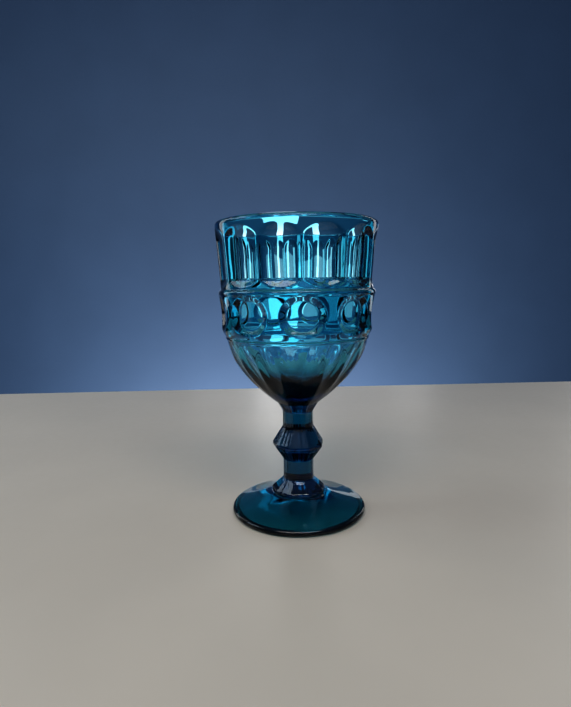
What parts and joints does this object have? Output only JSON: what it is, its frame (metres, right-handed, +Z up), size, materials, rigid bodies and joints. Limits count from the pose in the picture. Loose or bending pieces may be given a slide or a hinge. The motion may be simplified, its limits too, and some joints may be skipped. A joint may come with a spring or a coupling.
{
  "type": "water goblet",
  "caption": "Stemmed goblet of pressed deep-teal glass, with arched panels, a band of round dishes and a fluted cup over a faceted knopped stem and a round foot.",
  "frame": {"origin": "centre of the ring that the foot rests on, at the bottom of the object", "axes": "+Z up along the goblet's axis; a ridge between panels, the middle of a dish and a flat of the stem face -Y"},
  "size_m": [0.0896, 0.0896, 0.165],
  "materials": {
    "glass": "deep teal-blue pressed glass, fire-polished and clear"
  },
  "bodies": {
    "root": {"bowl": "glass", "stem": "glass", "foot": "glass"}
  },
  "joints": []
}
